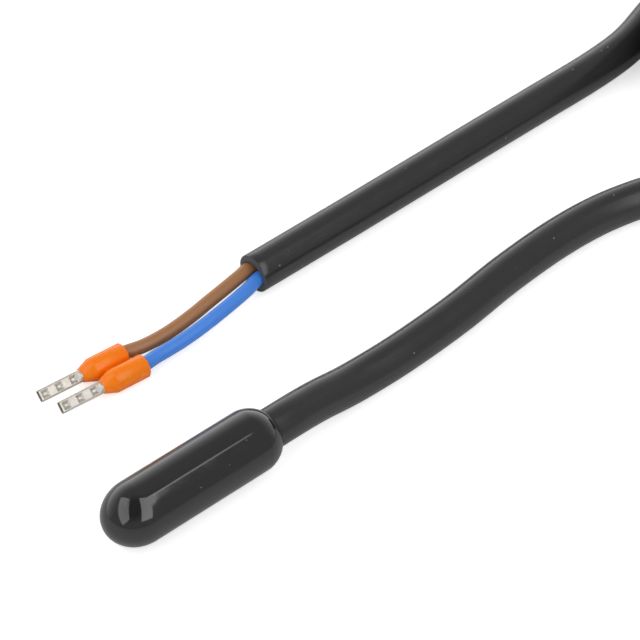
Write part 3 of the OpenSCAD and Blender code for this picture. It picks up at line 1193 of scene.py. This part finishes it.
@dataclass
class Tie:
    """The cable tie round the hank: its band, head and cut tail, in millimetres."""

    thickness: float = 0.6
    width: float = 3.6
    head: float = 5.0
    head_height: float = 3.0
    head_wall: float = 0.9
    pocket: float = 1.2
    panel_border: float = 0.7
    panel_depth: float = 0.25
    tail_foot: float = 1.0
    edge: float = 0.12
    nylon: PlainPlastic = PlainPlastic("tie_nylon", (0.025, 0.025, 0.026), 0.42)

    def build(self) -> None:
        """Makes, dresses and places the tie."""
        low, high = (Vector(corner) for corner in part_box("hank_tie"))
        mid = (low + high) / 2
        thick, wide, head_wide = self.thickness * MM, self.width * MM, self.head * MM
        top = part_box("cable_hank")[1][2] + thick
        foot = top + self.tail_foot * MM
        band = square_tube("band", (mid.x, mid.y, (low.z + top) / 2),
                           (wide, high.y - low.y, top - low.z), thick, 5)
        modify(band, "SOLIDIFY", thickness=thick, offset=-1.0)
        with Edit(band) as edit:
            edit.close_up()
        head = block("head", (mid.x, mid.y, top + self.head_height * MM / 2),
                     (head_wide, head_wide, self.head_height * MM))
        with Edit(head, Kind.FACE) as edit:
            edit.pick(lambda c, n: n.z > 0.9)
            bpy.ops.mesh.inset(thickness=self.head_wall * MM, depth=0)
            edit.extrude(z=-self.pocket * MM)
            edit.pick(lambda c, n: abs(n.y) > 0.9 and abs(c.y - mid.y) > head_wide * 0.49)
            bpy.ops.mesh.inset(thickness=self.panel_border * MM, depth=-self.panel_depth * MM)
        tail = block("tail", (mid.x, mid.y, (foot + high.z) / 2), (wide, thick, high.z - foot))
        for part in (head, tail, band):
            modify(part, "BEVEL", width=self.edge * MM, segments=3, limit_method="ANGLE",
                   angle_limit=math.radians(35))
        piece = join("tie", [band, head, tail])
        smooth(piece)
        dress(piece, self.nylon.make())
        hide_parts("hank_tie")


class Inside:
    """What the capsule holds: the bead, its leads, the splices and the cores."""

    finishes = {
        "ceramic": PlainPlastic("ceramic", (0.1, 0.1, 0.105), 0.55, 6000),
        "bead_resin": PlainPlastic("bead_resin", (0.03, 0.025, 0.02), 0.3, 1200),
        "lead_wire": BareMetal("lead_wire", (0.75, 0.74, 0.72), 0.25),
        "splice_brass": BareMetal("splice_brass", (0.75, 0.62, 0.35), 0.3),
        "shrunk_sleeve": PlainPlastic("shrunk_sleeve", (0.04, 0.04, 0.045), 0.6),
        "core_brown": PlainPlastic("inner_brown", (0.27, 0.13, 0.055), 0.4),
        "core_blue": PlainPlastic("inner_blue", (0.07, 0.21, 0.72), 0.4),
        "copper": BareMetal("inner_copper", (0.72, 0.42, 0.24), 0.35),
    }

    def dress(self) -> None:
        """Gives each sealed node a finish of its own."""
        made = {slot: finish.make() for slot, finish in self.finishes.items()}
        slots = {part["node"]: part["material_slot"] for part in frame["record"]["subparts"]}
        for node, piece in frame["nodes"].items():
            if node.startswith(("thermistor_", "splice_", "inner_")):
                piece.data.materials.clear()
                piece.data.materials.append(made[slots[node]])
                log.info("%s: sealed inside", node)


# The studio

def heading(azimuth: float, elevation: float) -> Vector:
    """Direction given by its angle round the table and its angle above it."""
    a, e = math.radians(azimuth), math.radians(elevation)
    return Vector((math.cos(a) * math.cos(e), math.sin(a) * math.cos(e), math.sin(e)))


@dataclass(frozen=True)
class Softbox:
    """A square lamp at one side of the probe, with its face turned as a stand turns it."""

    name: str
    azimuth: float
    elevation: float
    width: float
    height: float
    watts: float
    roll: float = 0.0
    distance: float = 1.0
    yaw: float = 0.0
    pitch: float = 0.0

    def build(self, aim: Vector) -> None:
        """Adds the lamp.

        Args:
            aim: the point that it stands round.
        """
        data = bpy.data.lights.new(self.name, "AREA")
        data.shape = "RECTANGLE"
        data.size, data.size_y = self.width, self.height
        data.energy = self.watts
        lamp = added(self.name, data)
        place = aim + self.distance * heading(self.azimuth, self.elevation)
        face = heading(self.azimuth + self.yaw, self.elevation + self.pitch)
        lamp.matrix_world = (Matrix.Translation(place)
                             @ face.to_track_quat("Z", "Y").to_matrix().to_4x4()
                             @ Matrix.Rotation(math.radians(self.roll), 4, "Z"))


@dataclass
class Studio:
    """The pale floor, the white surroundings and the lamps."""

    lamps: Sequence[Softbox] = (
        Softbox("lamp_left", -178.0, 51.0, 2.208, 0.963, 12.4, -26.7, 1.38, -26.4, -30.5),
        Softbox("lamp_right", -65.6, 54.8, 1.172, 0.425, 3.6, 90.0, 0.8, -60.0, -24.4),
        Softbox("lamp_strip", -32.0, 59.8, 0.07, 0.07, 0.035, 0.0, 1.0),
    )
    aim: Point = (0.0, 0.0, 0.004)
    floor_size: float = 6.0
    floor_colour: Colour = (0.8, 0.8, 0.8)
    # painted shade: towards the front the floor's colour falls to this share, so its reflections
    # and bounce light there are dim
    front_painted_shade: float = 0.45
    front_shade_fade: Pair = (-0.08, -0.006)
    floor_glow: float = 0.6
    low_light: float = 2.3
    front_light: float = 0.42
    back_azimuth: float = 60.0
    back_fade: Pair = (-0.1, 0.9)
    high_light: float = 0.42
    high_from: float = 0.75
    dark_light: float = 0.09
    dark_way: Pair = (-131, 62)
    dark_fade: Pair = (48, 24)

    def floor(self) -> None:
        """Adds the floor, which the camera sees as white, with a soft shadow and painted shade
        that darkens its colour towards the front.
        """
        take()
        bpy.ops.mesh.primitive_plane_add(size=self.floor_size, location=(0, 0, 0))
        floor = named("floor")
        s = Sketch("floor")
        near = s.shades(s.noise(40, 2), self.floor_colour, 0.98, 1.0)
        ahead = s.node("ShaderNodeSeparateXYZ", {0: s.place}).outputs[1]
        # painted shade: the floor's colour darkens towards the front, so reflections of it in the
        # probe read dark
        s.feed(Base_Color=s.blend(s.span(ahead, *self.front_shade_fade, 1.0, 0.0), near,
                                  shade_of(self.floor_colour, self.front_painted_shade)))
        s.put(Roughness=0.9, Specular_IOR_Level=0.0, Emission_Color=(1.0, 1.0, 1.0))
        path = s.node("ShaderNodeLightPath")
        s.feed(Emission_Strength=s.math("MULTIPLY", path.outputs["Is Camera Ray"],
                                        self.floor_glow))
        floor.data.materials.append(s.material)

    def world(self) -> None:
        """Makes the surroundings: white to the camera, plain light to the probe.

        The light is brighter low down behind the probe, as from a pale sweep behind the
        table, and darker in front and above the camera, between the lamps.
        """
        s = Sketch("surroundings", surroundings=True)
        bpy.context.scene.world = s.material
        way = s.node("ShaderNodeTexCoord").outputs["Generated"]
        height = s.node("ShaderNodeSeparateXYZ", {0: way}).outputs[2]
        back, near = (
            s.node("ShaderNodeVectorMath", {0: way, 1: side}, operation="DOT_PRODUCT").outputs[
                "Value"] for side in (heading(self.back_azimuth, 0), heading(*self.dark_way)))
        low = s.span(back, *self.back_fade, self.front_light, self.low_light)
        level = s.span(height, 0.0, self.high_from, low, self.high_light)
        edges = (math.cos(math.radians(angle)) for angle in self.dark_fade)
        share = s.span(near, *edges, 1.0, self.dark_light / self.high_light)
        path = s.node("ShaderNodeLightPath")
        s.feed(Strength=s.math("MAXIMUM", s.math("MULTIPLY", level, share),
                               path.outputs["Is Camera Ray"]))
        s.put(Color=(1.0, 1.0, 1.0))

    def build(self) -> None:
        """Adds floor, surroundings and lamps."""
        self.floor()
        self.world()
        for lamp in self.lamps:
            lamp.build(Vector(self.aim))
        bpy.context.scene.view_settings.view_transform = "Standard"


BROWN_WAY = ((37, 24.14, 2.78), (29.7, 24.14, 2.78), (27.9, 23.88, 2.66), (25.6, 23.6, 2.5),
             (22.6, 23.28, 2.28), (19.7, 22.98, 2.02), (16.7, 22.81, 1.78), (14.1, 22.83, 1.66),
             (11.6, 23.07, 1.63))
BLUE_WAY = ((37, 22.26, 2.42), (29.7, 22.26, 2.42), (27.5, 21.68, 2.38), (25.3, 21.3, 2.3),
            (22.3, 20.91, 2.14), (19.2, 20.61, 1.94), (16.1, 20.48, 1.75), (13.5, 20.5, 1.66),
            (11.6, 20.55, 1.63))


def main() -> None:
    """Builds the probe round the frame, with camera and cords first."""
    logging.basicConfig(level=logging.INFO, format="%(message)s")
    Camera().build()
    cable = Cable()
    cable.build()
    brown = Core(CoreColour.BROWN, BROWN_WAY, (9.08, 23.62), 1.0,
                 CoreInsulation("insulation_brown", (0.35, 0.155, 0.058)))
    blue = Core(CoreColour.BLUE, BLUE_WAY, (9.8, 20.38), -1.0,
                CoreInsulation("insulation_blue", (0.055, 0.235, 0.75)))
    for core in (brown, blue):
        core.build()
    Ferrule().build((brown, blue))
    for core in (brown, blue):
        core.declare()
    cable.declare([brown.piece, blue.piece, *brown.ferrule, *blue.ferrule])
    Capsule().build(cable.radius)
    Tie().build()
    Inside().dress()
    Studio().build()


if __name__ == "__main__":
    main()
